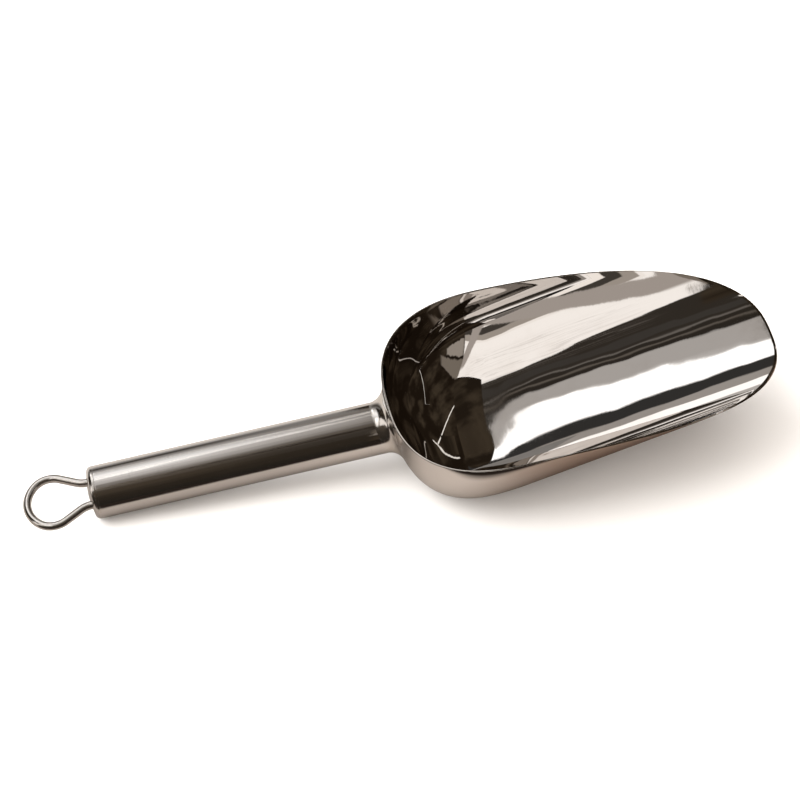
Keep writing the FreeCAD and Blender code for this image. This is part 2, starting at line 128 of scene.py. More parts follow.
# ---------------------------------------------------------------- bowl surface
def bowl_level(points):
    """Below 1 inside the bowl's outer surface, above 1 outside it."""
    x, y, z = points[..., 0], np.abs(points[..., 1]), points[..., 2]
    station = x - BOWL_X
    back = np.clip(-station / BACK_LEN, 0.0, None)
    heel = np.clip((-station - (BACK_LEN - HEEL_LEN)) / HEEL_LEN, 0.0, None)
    tiny = 1e-12
    width = BOWL_HALF_W * np.clip(1.0 - back ** PLAN_POWER, tiny, None) ** (1.0 / PLAN_POWER)
    depth = TROUGH_DROP * np.clip(1.0 - heel ** HEEL_POWER, tiny, None) ** (1.0 / HEEL_POWER)
    below = np.clip(BOWL_Z + station * FLOOR_SLOPE - z, 0.0, None)
    plan = (y / BOWL_HALF_W) ** PLAN_POWER + back ** PLAN_POWER
    section = (y / width) ** SECTION_POWER + (below / depth) ** SECTION_POWER
    return np.where((below == 0.0) & (station < 0.0), plan, section)


def bowl_normal(points):
    """Outward normal of the bowl's surface, from the slope of bowl_level."""
    step = 1e-6
    normal = np.empty_like(points)
    for axis in range(3):
        shift = np.zeros(3)
        shift[axis] = step
        normal[..., axis] = bowl_level(points + shift) - bowl_level(points - shift)
    normal /= np.linalg.norm(normal, axis=-1, keepdims=True)
    return normal


def superellipse(angle, power):
    """Point of a unit superellipse at a polar angle."""
    c, s = np.cos(angle), np.sin(angle)
    size = (np.abs(c) ** power + np.abs(s) ** power) ** (1.0 / power)
    return c / size, s / size


def rim_height(x):
    """Height of the rim seen from the side: a straight line, then one long arc."""
    tilt = atan(RIM_SLOPE)
    centre_x = RIM_X + RIM_R * sin(tilt)
    centre_z = RIM_Z - RIM_R * cos(tilt)
    arc = centre_z + np.sqrt(RIM_R ** 2 - (x - centre_x) ** 2)
    return np.where(x <= RIM_X, RIM_Z + RIM_SLOPE * (x - RIM_X), arc)


def solve(function, low, high):
    """Where an increasing function crosses zero, for whole arrays at once."""
    low, high = np.array(low, float), np.array(high, float)
    for _ in range(60):
        middle = 0.5 * (low + high)
        rising = function(middle) < 0.0
        low = np.where(rising, middle, low)
        high = np.where(rising, high, middle)
    return 0.5 * (low + high)


def trough_point(station, angle):
    """Point of the straight trough's outside, by station and angle across the section."""
    across, down = superellipse(angle, SECTION_POWER)
    z = BOWL_Z + station * FLOOR_SLOPE - TROUGH_DROP * down
    return np.stack(np.broadcast_arrays(BOWL_X + station, BOWL_HALF_W * across, z), -1)


def back_point(bearing, dip):
    """Point of the round back's outside, on a ray from the bowl's centre."""
    centre = np.array([BOWL_X, 0.0, BOWL_Z])
    ray = [-np.cos(bearing) * np.cos(dip), np.sin(bearing) * np.cos(dip), -np.sin(dip)]
    ray = np.stack(np.broadcast_arrays(*ray), -1)
    zero = np.zeros(ray.shape[:-1])
    reach = solve(lambda r: bowl_level(centre + r[..., None] * ray) - 1.0, zero, zero + 90.0)
    return centre + reach[..., None] * ray


def rim_station(angle):
    """Station where the trough's line at this angle comes up to the rim."""
    _, down = superellipse(angle, SECTION_POWER)

    def above(station):
        z = BOWL_Z + station * FLOOR_SLOPE - TROUGH_DROP * down
        return z - rim_height(BOWL_X + station)

    return solve(above, np.full(np.shape(angle), -60.0), np.full(np.shape(angle), 130.0))


def rim_dip(bearing):
    """Dip of the ray that meets the rim at this bearing round the back."""

    def below(dip):
        p = back_point(bearing, dip)
        return rim_height(p[..., 0]) - p[..., 2]

    return solve(below, np.zeros(np.shape(bearing)), np.full(np.shape(bearing), 1.2))


def even_steps(points, values, count):
    """Values at even steps of arc length along a dense line of points."""
    gaps = np.linalg.norm(np.diff(points, axis=0), axis=1)
    length = np.concatenate([[0.0], np.cumsum(gaps)])
    return np.interp(np.linspace(0.0, length[-1], count), length, values)


# The bowl's mesh: ribs run down from the rim to a line along the floor, the spine, which goes
# from MOUTH_POLE (a station near the lip) back to the trough's start. Rows lie closer together
# towards the rim.
FRONT_RIBS = 72
BACK_RIBS = 44
FAN_RIBS = 30
ROWS = 46
ROW_GROWTH = 1.035
MOUTH_POLE = 74.0
FRONT_SAMPLES = 4000
BACK_SAMPLES = 600

# The rim: a flat edge with rounded corners (a superellipse of RIM_POWER and height EDGE_R),
# with the sheet eased in a little just below it on both faces.
EDGE_R = 0.22
RIM_STEPS = 10
RIM_POWER = 4.0
INNER_REACH = 2.2
TIP_REACH = 0.5
INNER_SLOPE = 0.08
OUTER_REACH = 1.5
OUTER_ROLL = 0.05


def bowl_ribs():
    """Ribs of half the bowl's outside, from the lip's middle round to the back's middle."""
    start = solve(rim_station, 0.05, 1.5)
    angles = np.linspace(pi / 2, float(start), FRONT_SAMPLES)
    front = trough_point(rim_station(angles), angles)
    angles = even_steps(front, angles, FRONT_RIBS + 1)
    stations = rim_station(angles)
    stations[-1] = 0.0
    bearings = np.linspace(pi / 2, 0.0, BACK_SAMPLES)
    back = back_point(bearings, rim_dip(bearings))
    bearings = even_steps(back, bearings, BACK_RIBS + 1)[1:]
    dips = rim_dip(bearings)

    growth = ROW_GROWTH ** np.arange(ROWS + 1)
    down = (growth - 1.0) / (growth[-1] - 1.0)
    left = np.arange(FRONT_RIBS, -1, -1.0)
    spine = MOUTH_POLE * np.minimum(1.0, left / (FRONT_RIBS - FAN_RIBS))

    def front_rib(v):
        station = stations[:, None] + (spine - stations)[:, None] * v
        angle = angles[:, None] + (pi / 2 - angles)[:, None] * v
        return trough_point(station, angle)

    def back_rib(v):
        return back_point(bearings[:, None] + 0.0 * v, dips[:, None] + (pi / 2 - dips)[:, None] * v)

    ribs = []
    for rib, count in ((front_rib, FRONT_RIBS + 1), (back_rib, BACK_RIBS)):
        whole = rib(np.broadcast_to(down, (count, ROWS + 1)))
        length = np.linalg.norm(np.diff(whole, axis=1), axis=2).sum(axis=1)
        start = (EDGE_R / length)[:, None]
        ribs.append(rib(start + (1.0 - start) * down))
    return np.concatenate(ribs)


def build_bowl():
    """Closed sheet bowl: outside, rounded rim and inside, with an even thickness."""
    half = bowl_ribs()
    mirror = np.array([1.0, -1.0, 1.0])
    outside = np.concatenate([half, half[-2:0:-1] * mirror])
    normal = bowl_normal(outside)
    ribs = len(outside)
    gaps = np.linalg.norm(np.diff(outside, axis=1), axis=2)
    depth = np.concatenate([np.zeros((ribs, 1)), np.cumsum(gaps, axis=1)], axis=1)
    down = outside[:, 1] - outside[:, 0]
    down /= np.linalg.norm(down, axis=1)[:, None]
    up = -down[:, None]
    side = (outside[:, :1, 1] / BOWL_HALF_W) ** 2
    reach = TIP_REACH + (INNER_REACH - TIP_REACH) * side
    fade = np.clip(1.0 - depth / reach, 0.0, None)
    roll = 0.5 * INNER_SLOPE * reach
    inside = outside - normal * (SHEET - roll * fade ** 2)[..., None]
    inward = -normal + up * (INNER_SLOPE * fade)[..., None]
    fade = np.clip(1.0 - depth / OUTER_REACH, 0.0, None)
    outside = outside - normal * (OUTER_ROLL * fade ** 2)[..., None]
    outward = normal + up * (2.0 * OUTER_ROLL / OUTER_REACH * fade)[..., None]
    edge = (SHEET - roll - OUTER_ROLL)[..., None]

    angle = np.linspace(0.0, pi, RIM_STEPS + 1)[1:-1]
    c, s = superellipse(angle, RIM_POWER)
    across = edge * (1.0 - c)[None, :, None] / 2.0
    rise = EDGE_R * s[None, :, None]
    cap = outside[:, :1] - normal[:, :1] * across + up * rise
    cap_c = (np.sign(c) * np.abs(c) ** (RIM_POWER - 1.0))[None, :, None] / (edge / 2.0)
    cap_s = s ** (RIM_POWER - 1.0) / EDGE_R
    cap_normal = normal[:, :1] * cap_c + up * cap_s[None, :, None]

    strips = np.concatenate([outside[:, ROWS - 1::-1], cap, inside[:, :ROWS]], axis=1)
    strip_normals = np.concatenate([outward[:, ROWS - 1::-1], cap_normal, inward[:, :ROWS]], axis=1)
    width = strips.shape[1]
    spine_ribs = list(range(FAN_RIBS, FRONT_RIBS + 1))
    spine_of = []
    for rib in range(ribs):
        along = min(rib, ribs - rib)
        spine_of.append(min(max(along, FAN_RIBS), FRONT_RIBS) - FAN_RIBS)
    points = np.concatenate([
        strips.reshape(-1, 3), outside[spine_ribs, ROWS], inside[spine_ribs, ROWS]])
    normals = np.concatenate([
        strip_normals.reshape(-1, 3), normal[spine_ribs, ROWS], inward[spine_ribs, ROWS]])
    outer_spine = ribs * width
    inner_spine = outer_spine + len(spine_ribs)
    faces = []
    for rib in range(ribs):
        near = rib * width
        far = (rib + 1) % ribs * width
        for row in range(width - 1):
            faces.append((near + row, far + row, far + row + 1, near + row + 1))
        last = width - 1
        ends = [(near, far, outer_spine, True), (near + last, far + last, inner_spine, False)]
        for a, b, base, flip in ends:
            sa, sb = base + spine_of[rib], base + spine_of[(rib + 1) % ribs]
            face = (a, b, sb, sa) if sa != sb else (a, b, sa)
            faces.append(face[::-1] if flip else face)
    return add_mesh("bowl_sheet", points, faces, normals)


# ---------------------------------------------------------------- handle
def add_ring(name, grid, exact=None):
    """Closed mesh from a grid of points that wraps round in both directions.

    exact gives true normals for the first points of every turn.
    """
    turns, steps = grid.shape[:2]
    around = np.roll(grid, -1, axis=0) - np.roll(grid, 1, axis=0)
    along = np.roll(grid, -1, axis=1) - np.roll(grid, 1, axis=1)
    normals = np.cross(around, along)
    if exact is not None:
        normals[:, :exact.shape[1]] = exact
    normals = normals.reshape(-1, 3)
    faces = []
    for turn in range(turns):
        here, there = turn * steps, (turn + 1) % turns * steps
        for step in range(steps):
            after = (step + 1) % steps
            faces.append((here + step, there + step, there + after, here + after))
    return add_mesh(name, grid.reshape(-1, 3), faces, normals)


def add_capsule(name, grid, first_pole, last_pole):
    """Closed mesh from a grid that wraps round one way and ends in a point at both ends."""
    turns, steps = grid.shape[:2]
    around = np.roll(grid, -1, axis=0) - np.roll(grid, 1, axis=0)
    along = np.gradient(grid, axis=1)
    normals = np.cross(around, along).reshape(-1, 3)
    first, last = turns * steps, turns * steps + 1
    middle = grid.mean(axis=0)
    ends = np.array([middle[0] - middle[1], middle[-1] - middle[-2]])
    ends[0] = ends[0] if np.linalg.norm(ends[0]) > 1e-6 else first_pole - last_pole
    ends[1] = ends[1] if np.linalg.norm(ends[1]) > 1e-6 else last_pole - first_pole
    faces = []
    for turn in range(turns):
        here, there = turn * steps, (turn + 1) % turns * steps
        faces.append((here, first, there))
        faces.append((there + steps - 1, last, here + steps - 1))
        for step in range(steps - 1):
            faces.append((here + step, there + step, there + step + 1, here + step + 1))
    points = np.concatenate([grid.reshape(-1, 3), [first_pole, last_pole]])
    return add_mesh(name, points, faces, np.concatenate([normals, ends]))


def lathe(profile, turns):
    """Grid of points from a profile of (x, radius) turned about the tube's axis."""
    angle = np.arange(turns) * 2 * pi / turns
    x, r = np.array(profile).T
    points = [x + 0.0 * angle[:, None], r * np.cos(angle)[:, None], r * np.sin(angle)[:, None]]
    return np.stack(points, -1)


def soften(corners, radius, closed):
    """Profile with every corner cut by a small round of three points."""
    corners = [np.array(c, float) for c in corners]
    count = len(corners)
    profile = []
    for i, corner in enumerate(corners):
        if not closed and i in (0, count - 1):
            profile.append(corner)
            continue
        before, after = corners[i - 1] - corner, corners[(i + 1) % count] - corner
        reach_a = min(radius, 0.3 * np.linalg.norm(before))
        reach_b = min(radius, 0.3 * np.linalg.norm(after))
        start = corner + before / np.linalg.norm(before) * reach_a
        end = corner + after / np.linalg.norm(after) * reach_b
        middle = 0.25 * start + 0.5 * corner + 0.25 * end
        profile += [start, middle, end]
    return profile


# Stations on either side of the bowl's back wall, for the search in wall_x.
BEFORE_WALL = 100.0
INSIDE_BOWL = 125.0


def wall_x(radius, angle):
    """Where a line along the handle, at this radius and angle, meets the bowl's outside."""
    radius, angle = np.broadcast_arrays(radius, angle)
    y, z = radius * np.cos(angle), radius * np.sin(angle)

    def inside(x):
        return 1.0 - bowl_level(np.stack([x, y, z], -1))

    return solve(inside, np.full(y.shape, BEFORE_WALL), np.full(y.shape, INSIDE_BOWL))


# Steps round the handle, round the wire, and along the neck's outline.
TURNS = 128
WIRE_TURNS = 48
NECK_SAMPLES = 160
NECK_ARC_STEPS = 22
NECK_WALL_STEPS = 9
NECK_FOOT_STEPS = 5


def build_tube():
    """Tube with a bevelled tail, coped to the bowl's back wall at its front."""
    bore = TUBE_R - TUBE_WALL
    angle = np.arange(TURNS) * 2 * pi / TURNS
    bevel = [(0.0, TUBE_R - SEAM_DEPTH), (SEAM_HALF, TUBE_R)]
    tail = soften([(0.0, bore)] + bevel + [(1.5, TUBE_R)], 0.08, False)
    plain_start, plain_end = 4.0, 96.0
    middle = [(x, TUBE_R) for x in np.linspace(plain_start, plain_end, 24)]
    front_r = np.linspace(TUBE_R, bore, 5)
    inside = [(x, bore) for x in np.linspace(plain_end, plain_start, 12)]
    head = lathe(tail + middle, TURNS)
    radius, turn = np.meshgrid(front_r, angle)
    face = np.stack([wall_x(radius, turn), radius * np.cos(turn), radius * np.sin(turn)], -1)
    return add_ring("tube_body", np.concatenate([head, face, lathe(inside, TURNS)], axis=1))


def build_neck():
    """Fillet weld: in every plane through the axis, an arc tangent to tube and bowl.

    The outline goes up the arc from the tube (arc), down the bowl's wall (back) and along the
    tube again (foot). Where the arc would pass the bowl's rim, it stops at the rim.
    """
    angle = np.arange(TURNS) * 2 * pi / TURNS
    centre_r = TUBE_R + NECK_R
    radius = np.linspace(TUBE_R + 0.4, centre_r - 1e-3, NECK_SAMPLES)
    wall = wall_x(radius[None, :], angle[:, None])
    contact = wall - np.sqrt(NECK_R ** 2 - (centre_r - radius[None, :]) ** 2)
    centre_x = contact.min(axis=1)
    toe_r = radius[contact.argmin(axis=1)]
    toe_r = np.convolve(np.concatenate([toe_r[-4:], toe_r, toe_r[:4]]), np.full(9, 1 / 9), "valid")
    lift = np.clip(np.sin(angle), 1e-6, None)
    rim_r = rim_height(BOWL_X - BACK_LEN) / lift
    end_r = np.minimum(toe_r, rim_r)
    swing = np.arccos(np.clip((centre_r - end_r) / NECK_R, -1.0, 1.0))
    swing = swing - NECK_TOE / NECK_R
    turn = swing[:, None] * np.linspace(0.0, 1.0, NECK_ARC_STEPS)
    arc = [centre_x[:, None] + NECK_R * np.sin(turn), centre_r - NECK_R * np.cos(turn)]
    top_r = arc[1][:, -1]
    down = np.linspace(0.0, 1.0, NECK_WALL_STEPS)
    wall_r = top_r[:, None] + (TUBE_R - top_r)[:, None] * down
    back = [wall_x(wall_r, angle[:, None]), wall_r]
    share = np.linspace(0.0, 1.0, NECK_FOOT_STEPS + 2)[1:-1]
    root_x = back[0][:, -1]
    foot_x = root_x[:, None] + (centre_x - root_x)[:, None] * share
    foot = [foot_x, np.full(foot_x.shape, TUBE_R)]
    x = np.concatenate([arc[0], back[0], foot[0]], axis=1)
    r = np.concatenate([arc[1], back[1], foot[1]], axis=1)
    grid = np.stack([x, r * np.cos(angle)[:, None], r * np.sin(angle)[:, None]], -1)
    out = np.cos(turn)
    exact = np.stack([-np.sin(turn), out * np.cos(angle)[:, None], out * np.sin(angle)[:, None]], -1)
    return add_ring("neck_weld", grid, exact[:, :-1])


def build_seam():
    """Polished weld that fills the bevels between cap and tube."""
    top = TUBE_R - 0.02
    root = TUBE_R - SEAM_DEPTH
    corners = [(0.0, root), (-SEAM_HALF, top), (0.0, top + 0.015), (SEAM_HALF, top)]
    return add_ring("cap_weld", lathe(soften(corners[::-1], 0.1, True), TURNS)[:, ::-1])


def build_cap():
    """Crowned end cap with a skirt inside the tube."""
    bore = TUBE_R - TUBE_WALL
    flat = TUBE_R - CAP_SHOULDER
    nose = CAP_SHOULDER + CAP_CROWN
    face_x = CAP_PLATE - nose
    crown_r = (flat ** 2 + CAP_CROWN ** 2) / (2 * CAP_CROWN)
    outside = []
    for r in np.linspace(0.4, flat - 0.3, 22):
        outside.append((-nose + crown_r - sqrt(crown_r ** 2 - r ** 2), r))
    for turn in np.linspace(pi / 2, 0.26, 16):
        outside.append((-CAP_SHOULDER * sin(turn), flat + CAP_SHOULDER * cos(turn)))
    edge = [(-SEAM_HALF, TUBE_R - 0.06), (0.0, TUBE_R - SEAM_DEPTH), (0.0, bore), (SPIGOT_DEPTH, bore)]
    edge += [(SPIGOT_DEPTH, bore - CAP_WALL), (face_x, bore - CAP_WALL), (face_x, 0.4)]
    rim = soften([outside[-1]] + edge, 0.08, False)
    grid = lathe(outside[:-1] + rim, TURNS)
    return add_capsule("cap_body", grid, np.array([-nose, 0.0, 0.0]), np.array([face_x, 0.0, 0.0]))


def arc_points(centre, radius, start, end, count):
    """Points along an arc, from its centre, radius and angles."""
    turn = np.linspace(start, end, count)
    return np.stack([centre[0] + radius * np.cos(turn), centre[1] + radius * np.sin(turn)], -1)


def loop_line():
    """Centre line of half the loop, from the leg's end inside the tube to the eye's far end."""
    side = np.array([-EYE_SIDE_X, EYE_SIDE_Y])

    def gap(flare):
        end_x = -LEG_BEND_X - LEG_BEND_R * np.sin(flare)
        end_y = LEG_Y + LEG_BEND_R * (1.0 - np.cos(flare))
        return (end_x - side[0]) * np.sin(flare) + (end_y - side[1]) * np.cos(flare) - EYE_SIDE_R

    flare = float(solve(gap, radians(5.0), radians(60.0)))
    offset = EYE_END_R - EYE_SIDE_R
    end_centre = np.array([side[0] + sqrt(offset ** 2 - side[1] ** 2), 0.0])
    join = atan2(side[1], side[0] - end_centre[0])
    leg = np.stack([np.linspace(LEG_END_X, -LEG_BEND_X + 0.3, 8), np.full(8, LEG_Y)], -1)
    bend_centre = (-LEG_BEND_X, LEG_Y + LEG_BEND_R)
    bend = arc_points(bend_centre, LEG_BEND_R, -pi / 2, -pi / 2 - flare, 12)
    sides = arc_points(side, EYE_SIDE_R, pi / 2 - flare, join, 30)
    straight = bend[-1] + (sides[0] - bend[-1]) * np.linspace(0.0, 1.0, 10)[1:-1, None]
    end = arc_points(end_centre, EYE_END_R, join, pi, 12)[1:]
    return np.concatenate([leg, bend, straight, sides, end])


def build_loop():
    """Round wire bent into the hanging loop."""
    half = loop_line()
    line = np.concatenate([half, half[-2::-1] * np.array([1.0, -1.0])])
    tangent = np.gradient(line, axis=0)
    tangent /= np.linalg.norm(tangent, axis=1)[:, None]
    aside = np.stack([-tangent[:, 1], tangent[:, 0], 0.0 * tangent[:, 0]], -1)
    centre = np.concatenate([line, np.zeros((len(line), 1))], axis=1)
    forward = np.concatenate([tangent, np.zeros((len(line), 1))], axis=1)
    radii = np.full(len(line), WIRE_R)
    ends = [(0.45, 0.0), (0.93, 0.0), (1.0, 0.12)]
    first = [centre[0] + forward[0] * WIRE_R * shift for _, shift in ends]
    last = [centre[-1] - forward[-1] * WIRE_R * shift for _, shift in ends[::-1]]
    centre = np.concatenate([first, centre[1:-1], last])
    aside = np.concatenate([[aside[0]] * 3, aside[1:-1], [aside[-1]] * 3])
    radii = np.concatenate([[WIRE_R * size for size, _ in ends], radii[1:-1],
                            [WIRE_R * size for size, _ in ends[::-1]]])
    angle = np.arange(WIRE_TURNS)[:, None, None] * 2 * pi / WIRE_TURNS
    up = np.array([0.0, 0.0, 1.0])
    ring = np.cos(angle) * aside[None] + np.sin(angle) * up
    grid = centre[None] + ring * radii[None, :, None]
    return add_capsule("loop_wire", grid, centre[0], centre[-1])


bowl = build_bowl()
tube = build_tube()
neck = build_neck()
seam = build_seam()
cap = build_cap()
loop = build_loop()
PIECES = [
    (bowl, "scoop_bowl", "polished_sheet"), (tube, "handle_tube", "polished_tube"),
    (neck, "neck_fillet_weld", "polished_weld"), (cap, "end_cap", "polished_cap"),
    (seam, "cap_seam_weld", "polished_weld"), (loop, "hanging_loop", "drawn_wire")]
for piece, node, slot in PIECES:
    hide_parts(node)
    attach(piece, "root")


# ---------------------------------------------------------------- camera
def make_camera():
    """Long lens from above the scoop's near side, turned a little towards the tail."""
    azimuth, elevation, roll = radians(-11.92), radians(49.05), radians(-0.355)
    distance = 0.92384
    target = (cad_low + cad_high) / 2 + Vector((0.00254, 0.01026, 0.00075))
    back = Vector((sin(azimuth) * cos(elevation), -cos(azimuth) * cos(elevation), sin(elevation)))
    data = bpy.data.cameras.new("camera")
    data.lens = 115.8
    data.sensor_width = 36.0
    data.clip_start = 0.01
    data.clip_end = 50.0
    camera = bpy.data.objects.new("camera", data)
    bpy.context.scene.collection.objects.link(camera)
    camera.rotation_mode = "QUATERNION"
    camera.location = target + back * distance
    aim = (-back).to_track_quat("-Z", "Y").to_matrix().to_4x4() @ Matrix.Rotation(roll, 4, "Z")
    camera.rotation_quaternion = aim.to_quaternion()
    bpy.context.scene.camera = camera


make_camera()


# ---------------------------------------------------------------- node helpers
class Tree:
    """Short way to add and link nodes of one material or world."""

    def __init__(self, owner):
        owner.use_nodes = True
        self.nodes = owner.node_tree.nodes
        self.links = owner.node_tree.links
        self.nodes.clear()

    def add(self, kind, inputs=None, **settings):
        """Node of this kind; inputs maps a socket's name or number to a value or a socket."""
        node = self.nodes.new("ShaderNode" + kind)
        for name, value in settings.items():
            setattr(node, name, value)
        for name, value in (inputs or {}).items():
            if isinstance(value, bpy.types.NodeSocket):
                self.links.new(value, node.inputs[name])
            else:
                node.inputs[name].default_value = value
        return node

    def math(self, operation, first, second=0.0, third=0.0):
        node = self.add("Math", {0: first, 1: second, 2: third}, operation=operation)
        return node.outputs[0]

    def ease(self, value, low, high):
        """0 below low, 1 above high, smooth between."""
        inputs = {"Value": value, "From Min": low, "From Max": high}
        return self.add("MapRange", inputs, interpolation_type="SMOOTHSTEP").outputs[0]

    def mix(self, share, first, second):
        """First colour at share 0, second at share 1."""
        colour_inputs = {0: share, 6: first, 7: second}
        return self.add("Mix", colour_inputs, data_type="RGBA").outputs[2]

    def bands(self, value, stops):
        """Colours along a value: each stop is (where, grey level, warmth)."""
        node = self.add("ValToRGB", {0: value})
        ramp = node.color_ramp
        ramp.interpolation = "EASE"
        while len(ramp.elements) > 1:
            ramp.elements.remove(ramp.elements[0])
        for number, (where, level, warmth) in enumerate(stops):
            element = ramp.elements[0] if number == 0 else ramp.elements.new(where)
            element.position = where
            element.color = (level * (1 + warmth), level, level * (1 - warmth), 1.0)
        return node.outputs[0]


def panel_stops(panels, soft):
    """Ramp stops for panels side by side: each is (end angle, grey level, warmth)."""
    stops = [(0.0, *panels[0][1:])]
    for number, (end, level, warmth) in enumerate(panels[:-1]):
        stops.append(((end - soft) / 180.0, level, warmth))
        stops.append(((end + soft) / 180.0, *panels[number + 1][1:]))
    return stops


# ---------------------------------------------------------------- studio
TROUGH_TILT = TILT + FLOOR_TILT
NEAR_PANELS = [
    (8.0, 1.2, 0.06), (19.0, 0.06, 0.15), (29.0, 0.42, 0.12), (33.0, 1.2, 0.05), (84.0, 1.3, 0.035),
    (180.0, 0.035, 0.2)]
FAR_PANELS = [
    (100.0, 0.035, 0.2), (106.0, 0.052, 0.12), (108.5, 0.035, 0.2), (110.0, 0.16, 0.1),
    (113.0, 0.03, 0.2), (114.5, 0.13, 0.15), (118.0, 0.028, 0.2), (127.5, 0.53, 0.045),
    (138.5, 1.9, 0.0), (149.0, 0.042, 0.03), (158.0, 0.42, 0.07), (170.0, 1.6, 0.02),
    (180.0, 0.6, 0.05)]


def make_world():
    """Dim brown room with soft white panels overhead, as the steel sees it.

    Panels are placed by two angles about the bowl's trough: turn, from the near horizon over
    the top to the far one, and lean, the sine of the angle towards the mouth.
    """
    world = bpy.data.worlds.new("studio")
    bpy.context.scene.world = world
    tree = Tree(world)
    direction = tree.add("TexCoord").outputs["Generated"]
    spin = tree.add("VectorRotate", {"Vector": direction, "Angle": TROUGH_TILT}, rotation_type="Y_AXIS")
    lean, across, height = tree.add("SeparateXYZ", {0: spin.outputs[0]}).outputs
    turn = tree.math("ARCTAN2", height, tree.math("MULTIPLY", across, -1.0))
    turn = tree.math("MULTIPLY", turn, 180.0 / pi)
    steps = {0: tree.math("MULTIPLY", lean, 30.0), 1: tree.math("MULTIPLY", turn, 0.06)}
    steps = tree.add("CombineXYZ", steps).outputs[0]
    ripple = tree.add("TexNoise", {"Vector": steps, "Scale": 1.3, "Detail": 2.0}).outputs["Fac"]
    sway = tree.math("MULTIPLY", tree.math("SUBTRACT", ripple, 0.5), 6.5)

    # The panels' edges run askew, and the far ones sag at their tail end.
    near_turn = tree.math("ADD", tree.math("MULTIPLY_ADD", lean, 150.0, turn), sway)
    sag = tree.math("MAXIMUM", tree.math("SUBTRACT", -0.045, lean), 0.0)
    sag = tree.math("MULTIPLY", tree.math("MULTIPLY", sag, sag), -30000.0)
    far_turn = tree.math("MULTIPLY_ADD", lean, -60.0, turn)
    far_turn = tree.math("ADD", far_turn, tree.math("ADD", sway, sag))

    def between(value, low, high, soft):
        """1 between low and high, fading out over soft inside both."""
        inside = tree.ease(value, low, tree.math("ADD", low, soft))
        return tree.math("MULTIPLY", inside, tree.ease(value, high, tree.math("SUBTRACT", high, soft)))

    # The room: dim brown walls with two paler patches beyond the panels' tail end.
    patches = tree.add("TexNoise", {"Vector": direction, "Scale": 3.5, "Detail": 4.0}).outputs["Fac"]
    unlit, walls = (0.016, 0.0105, 0.0065, 1.0), (0.06, 0.045, 0.03, 1.0)
    room = tree.mix(tree.ease(patches, 0.42, 0.7), unlit, walls)
    grey = (0.4, 0.355, 0.31, 1.0)
    dim = (0.24, 0.205, 0.17, 1.0)
    top = tree.math("MULTIPLY_ADD", lean, -100.0, 51.0)
    bottom = tree.math("MULTIPLY_ADD", lean, -130.0, 80.0)
    low_patch = between(tree.math("ADD", turn, sway), tree.math("ADD", top, 1.5), bottom, 3.0)
    low_patch = tree.math("MULTIPLY", low_patch, between(lean, -0.045, 0.33, 0.06))
    high_patch = between(tree.math("ADD", turn, sway), 18.0, top, 2.5)
    high_patch = tree.math("MULTIPLY", high_patch, between(lean, 0.02, 0.21, 0.025))
    room = tree.mix(low_patch, room, dim)
    room = tree.mix(high_patch, room, grey)

    # The near panels, with faint contour lines, and a grey flag hung before them.
    folds = tree.add("TexNoise", {"Vector": direction, "Scale": 5.0, "Detail": 3.0}).outputs["Fac"]
    contour = tree.math("SINE", tree.math("MULTIPLY", folds, 110.0))
    contour = tree.math("MULTIPLY", tree.ease(contour, 0.55, 1.0), tree.ease(lean, 0.02, -0.02))
    contour = tree.math("MULTIPLY", contour, tree.math("MULTIPLY", tree.ease(turn, 50.0, 62.0), 0.3))
    near = tree.bands(tree.math("DIVIDE", near_turn, 180.0), panel_stops(NEAR_PANELS, 0.5))
    near = tree.mix(contour, near, (0.5, 0.45, 0.41, 1.0))
    flag = tree.math("MULTIPLY_ADD", lean, -700.0, turn)
    in_flag = tree.math("MULTIPLY", between(flag, 24.0, 54.0, 3.0), tree.ease(turn, 66.0, 60.0))
    near = tree.mix(in_flag, near, (0.5, 0.45, 0.41, 1.0))
    near_end = tree.ease(tree.math("MULTIPLY_ADD", sway, 0.0006, lean), 0.026, 0.031)
    near = tree.mix(near_end, near, room)

    far = tree.bands(tree.math("DIVIDE", far_turn, 180.0), panel_stops(FAR_PANELS, 0.4))
    far_end = tree.math("MULTIPLY_ADD", tree.ease(turn, 146.0, 151.0), 0.0125, -0.0665)
    far = tree.mix(between(lean, far_end, 0.05, 0.0008), room, far)
    light = tree.mix(tree.ease(turn, 93.0, 99.0), near, far)

    def streak(light, where, low, high, width, level):
        """Thin bright line where the value is near 0, between two leans."""
        on = tree.ease(tree.math("ABSOLUTE", where), width, width * 0.4)
        on = tree.math("MULTIPLY", on, between(lean, low, high, 0.02))
        return tree.mix(on, light, (level, level * 0.96, level * 0.9, 1.0))

    wave = tree.math("MULTIPLY", sway, 0.2)
    first = tree.math("ADD", tree.math("MULTIPLY_ADD", lean, -74.0, turn), wave)
    light = streak(light, tree.math("SUBTRACT", first, 96.8), 0.04, 0.5, 1.1, 1.3)
    second = tree.math("ADD", tree.math("SUBTRACT", turn, 134.0), wave)
    light = streak(light, second, 0.12, 0.6, 0.8, 1.1)
    light = streak(light, tree.math("SUBTRACT", turn, 129.5), 0.19, 0.275, 2.4, 1.3)
    ring = tree.math("MULTIPLY_ADD", turn, 0.0006, lean)
    ring = tree.math("MULTIPLY_ADD", sway, 0.0025, ring)
    beyond_arc = tree.ease(tree.math("ABSOLUTE", tree.math("SUBTRACT", turn, 48.0)), 38.0, 46.0)
    arc = tree.math("ADD", tree.math("SUBTRACT", ring, 0.78), beyond_arc)
    light = streak(light, arc, 0.6, 0.85, 0.008, 0.7)
    background = tree.add("Background", {"Color": light, "Strength": 1.0})
    tree.add("OutputWorld", {"Surface": background.outputs[0]})


